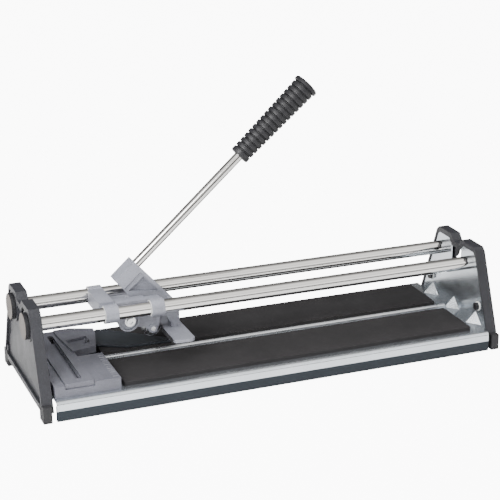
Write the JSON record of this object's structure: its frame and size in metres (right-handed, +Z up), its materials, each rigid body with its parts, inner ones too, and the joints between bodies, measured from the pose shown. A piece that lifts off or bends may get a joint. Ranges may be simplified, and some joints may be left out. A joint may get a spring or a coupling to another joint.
{
  "type": "tile cutter",
  "caption": "Manual tile cutter: pressed tray on rubber feet, two guide tubes, sliding carriage with lever, scoring wheel and breaker wing, and a measuring fence.",
  "frame": {"origin": "centre of the base, on the surface that the rubber feet stand on", "axes": "+X along the guide tubes, away from the measuring fence; +Y from the front edge to the rear edge; +Z up"},
  "size_m": [0.528, 0.1736, 0.3103],
  "materials": {
    "tray_steel": "silver-grey metallic paint, satin",
    "ridge_steel": "bright zinc, satin",
    "foam": "fine-grained foam rubber, matt",
    "strip_plastic": "moulded plastic, matt, slate",
    "cap_plastic": "moulded plastic, fine texture, black",
    "black_rubber": "matt",
    "tube_chrome": "polished chrome plate",
    "zinc_steel": "bright zinc plate",
    "black_steel": "black oxide",
    "nylon": "natural nylon",
    "fence_paint": "bluish grey paint on a casting, satin",
    "arm_paint": "dark grey paint, satin",
    "zinc_casting": "grey paint on a zinc die casting, satin",
    "grip_rubber": "soft moulded rubber, satin",
    "carbide": "ground hard metal",
    "cover_plastic": "moulded plastic, satin, warm grey"
  },
  "bodies": {
    "base": {"base_tray": "tray_steel", "breaking_ridge": "ridge_steel", "pad_front": "foam", "pad_rear": "foam", "front_strip": "strip_plastic", "rear_strip": "strip_plastic", "end_cap_left": "cap_plastic", "end_cap_right": "cap_plastic", "rubber_feet": "black_rubber", "guide_tube_front": "tube_chrome", "guide_tube_rear": "tube_chrome", "tube_inserts": "zinc_steel", "tube_screws": "zinc_steel", "tube_covers": "cover_plastic", "cap_screws": "black_steel", "cap_washers": "nylon", "fence_base": "fence_paint", "fence_screws": "zinc_steel", "guide_lock_screw": "black_steel"},
    "guide": {"guide_slider": "fence_paint", "swing_arm_screw": "zinc_steel"},
    "arm": {"swing_arm": "arm_paint"},
    "carriage": {"carriage": "zinc_casting", "sleeve_bushes": "nylon", "pivot_bolt": "zinc_steel", "pivot_washers": "zinc_steel", "pivot_nut": "zinc_steel"},
    "lever": {"lever_casting": "zinc_casting", "lever_rod": "tube_chrome", "rod_set_screw": "black_steel", "grip": "grip_rubber", "wing_pad": "black_rubber", "wheel_axle": "zinc_steel", "wheel_nut": "zinc_steel"},
    "wheel": {"scoring_wheel": "carbide"}
  },
  "joints": [
    {"name": "carriage_slide", "type": "slide", "parent": "base", "child": "carriage", "axis": [1, 0, 0], "range_m": [-0.052, 0.328]},
    {"name": "lever_pivot", "type": "hinge", "parent": "carriage", "child": "lever", "pos_m": [-0.145, 0, 0.0663], "axis": [0, -1, 0], "range_deg": [-17, 20]},
    {"name": "wheel_spin", "type": "hinge", "parent": "lever", "child": "wheel", "pos_m": [-0.1183, 0, 0.0528], "axis": [0, 1, 0], "continuous": true},
    {"name": "guide_slide", "type": "slide", "parent": "base", "child": "guide", "axis": [0, 1, 0], "range_m": [0, 0.108]},
    {"name": "arm_swing", "type": "hinge", "parent": "guide", "child": "arm", "pos_m": [-0.178, 0.05, 0.028], "axis": [0, 0, 1], "range_deg": [0, 40]}
  ]
}
